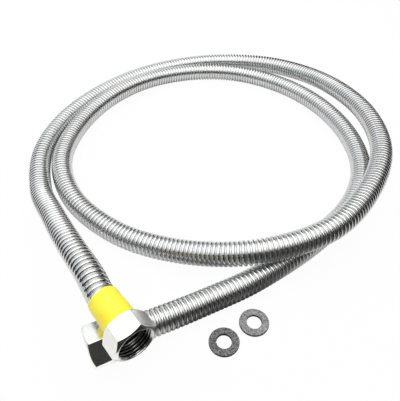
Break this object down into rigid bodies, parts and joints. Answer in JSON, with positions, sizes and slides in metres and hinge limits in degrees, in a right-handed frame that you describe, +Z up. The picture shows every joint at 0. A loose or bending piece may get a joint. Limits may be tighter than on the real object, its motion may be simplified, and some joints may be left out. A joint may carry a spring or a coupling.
{
  "type": "flexible gas hose",
  "caption": "Corrugated stainless gas hose lying in a loose double loop, with swivelling hexagon union nuts on its ends, a yellow marking sleeve and loose flat sealing washers.",
  "frame": {"origin": "on the surface that the hose lies on, under the middle of the whole part", "axes": "+Z up from the surface; +Y towards the far side of the loops; +X to the right; the union nuts lie at the near left"},
  "size_m": [0.2956, 0.3725, 0.0481],
  "materials": {
    "tube_steel": "bright annealed",
    "nut_metal": "nickel plated, satin",
    "ring_steel": "drawn",
    "yellow_film": "satin film",
    "dark_fibre": "matt pressed fibre",
    "light_fibre": "matt pressed fibre"
  },
  "bodies": {
    "hose_body": {"hose": "tube_steel", "split_ring_a": "ring_steel", "split_ring_b": "ring_steel", "marking_sleeve": "yellow_film", "washer_dark": "dark_fibre", "washer_light": "light_fibre"},
    "nut_a_body": {"nut_a": "nut_metal"},
    "nut_b_body": {"nut_b": "nut_metal"}
  },
  "joints": [
    {"name": "nut_a_swivel", "type": "hinge", "parent": "hose_body", "child": "nut_a_body", "pos_m": [-0.0428, -0.17185, 0.03568], "axis": [0.6191, -0.7853, 0], "continuous": true},
    {"name": "nut_b_swivel", "type": "hinge", "parent": "hose_body", "child": "nut_b_body", "pos_m": [-0.05933, -0.16557, 0.0127], "axis": [-0.8973, -0.4415, 0], "continuous": true}
  ]
}
